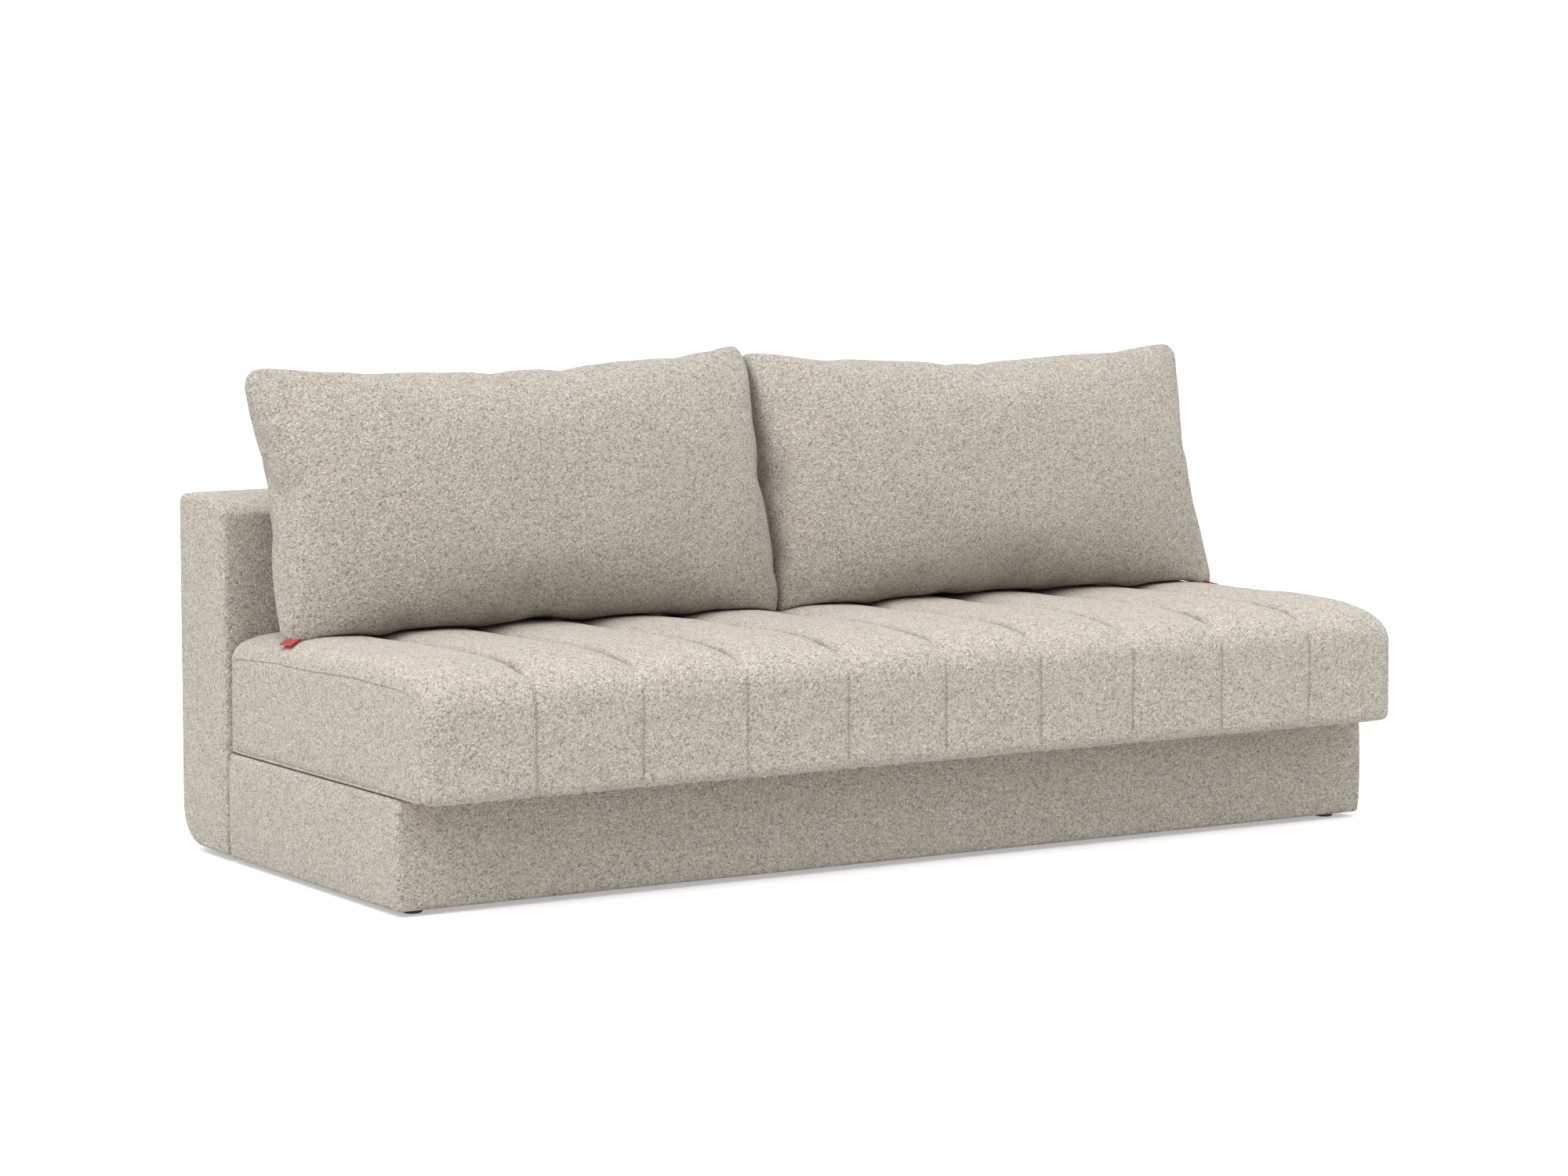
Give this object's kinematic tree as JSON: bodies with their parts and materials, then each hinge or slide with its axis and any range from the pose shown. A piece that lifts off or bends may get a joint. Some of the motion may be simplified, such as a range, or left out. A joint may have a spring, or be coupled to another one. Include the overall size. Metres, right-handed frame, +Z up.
{
  "type": "click clack sofa bed",
  "caption": "Armless sofa bed: channelled seat on a box base, full-height upholstered back that swings down flat beside the seat, and loose lean-on pillows.",
  "frame": {"origin": "middle of the sofa's footprint on the floor, half way between the seat's front and the back panel's rear face", "axes": "+X to the viewer's right when facing the sofa's front, -Y out of the front, +Z up"},
  "size_m": [2.006, 0.9348, 0.8637],
  "materials": {
    "boucle_fabric": "fine looped beige-grey tweed, matt",
    "red_tape": "plain woven red tape",
    "black_plastic": "moulded black, fine grain",
    "rubber": "moulded black",
    "softwood": "sawn, unfinished pine and plywood",
    "zinc_steel": "bright zinc plate",
    "painted_steel": "dark grey satin powder coat"
  },
  "bodies": {
    "base": {"base_front_board": "boucle_fabric", "base_rear_board": "boucle_fabric", "base_side_board_right": "boucle_fabric", "base_side_board_left": "boucle_fabric", "base_floor_board": "softwood", "front_corner_post_right": "softwood", "front_corner_post_left": "softwood", "rear_corner_post_right": "softwood", "rear_corner_post_left": "softwood", "glide_front_right": "black_plastic", "glide_front_left": "black_plastic", "glide_rear_right": "black_plastic", "glide_rear_left": "black_plastic", "base_cross_board": "softwood", "deck_rest_right": "rubber", "deck_rest_left": "rubber", "side_plate_right": "painted_steel", "side_plate_left": "painted_steel"},
    "rear_links": {"rear_link_right": "painted_steel", "rear_link_left": "painted_steel", "rear_link_shaft": "zinc_steel"},
    "front_links": {"front_link_right": "painted_steel", "front_link_left": "painted_steel", "front_link_shaft": "zinc_steel"},
    "seat": {"seat_front_rail": "softwood", "seat_rear_rail": "softwood", "seat_side_rail_right": "softwood", "seat_side_rail_left": "softwood", "seat_slat_1": "softwood", "seat_slat_2": "softwood", "seat_slat_3": "softwood", "seat_slat_4": "softwood", "seat_slat_5": "softwood", "seat_slat_6": "softwood", "seat_bracket_right": "painted_steel", "seat_bracket_left": "painted_steel", "seat_cushion": "boucle_fabric"},
    "arms": {"arm_tube": "painted_steel", "swing_arm_right": "painted_steel", "swing_arm_left": "painted_steel", "ratchet_sector_right": "painted_steel", "ratchet_sector_left": "painted_steel"},
    "back": {"back_front_pad": "boucle_fabric", "back_shell": "boucle_fabric", "back_heel": "boucle_fabric", "back_top_rail": "softwood", "back_bottom_rail": "softwood", "back_side_stile_right": "softwood", "back_side_stile_left": "softwood", "back_centre_stile": "softwood", "hinge_cheek_right": "painted_steel", "hinge_cheek_left": "painted_steel", "back_hinge_pin_right": "zinc_steel", "back_hinge_pin_left": "zinc_steel"},
    "pawl_right": {"pawl_right": "zinc_steel"},
    "pawl_left": {"pawl_left": "zinc_steel"},
    "pillow_right": {"pillow_right": "boucle_fabric", "pillow_tab_right": "red_tape"},
    "pillow_left": {"pillow_left": "boucle_fabric", "pillow_tab_left": "red_tape"}
  },
  "joints": [
    {"name": "bed_fold", "type": "hinge", "parent": "base", "child": "rear_links", "pos_m": [0, 0.0258, 0.08], "axis": [1, 0, 0], "range_deg": [0, 90]},
    {"name": "seat_level", "type": "hinge", "parent": "rear_links", "child": "seat", "pos_m": [0, 0.1658, 0.22], "axis": [1, 0, 0], "range_deg": [-90, 0]},
    {"name": "front_link_swing", "type": "hinge", "parent": "base", "child": "front_links", "pos_m": [0, -0.2042, 0.08], "axis": [1, 0, 0], "range_deg": [0, 90]},
    {"name": "arm_swing", "type": "hinge", "parent": "base", "child": "arms", "pos_m": [0, 0.16372, 0.12744], "axis": [1, 0, 0], "range_deg": [0, 149.68]},
    {"name": "back_tilt", "type": "hinge", "parent": "arms", "child": "back", "pos_m": [0, 0.3758, 0.04], "axis": [1, 0, 0], "range_deg": [-239.68, 0]},
    {"name": "pawl_right_lift", "type": "hinge", "parent": "base", "child": "pawl_right", "pos_m": [0, 0.10172, 0.17144], "axis": [1, 0, 0], "range_deg": [0, 20]},
    {"name": "pawl_left_lift", "type": "hinge", "parent": "base", "child": "pawl_left", "pos_m": [0, 0.10172, 0.17144], "axis": [1, 0, 0], "range_deg": [0, 20]},
    {"name": "pillow_right_lift", "type": "slide", "parent": "back", "child": "pillow_right", "axis": [0, -0.7071, 0.7071], "range_m": [0, 0.5]},
    {"name": "pillow_left_lift", "type": "slide", "parent": "back", "child": "pillow_left", "axis": [0, -0.7071, 0.7071], "range_m": [0, 0.5]}
  ],
  "couplings": [
    {"joint": "seat_level", "follows": "bed_fold", "ratio": -1},
    {"joint": "front_link_swing", "follows": "bed_fold", "ratio": 1},
    {"joint": "arm_swing", "follows": "bed_fold", "ratio": 1.6631},
    {"joint": "back_tilt", "follows": "bed_fold", "ratio": -2.6631}
  ]
}
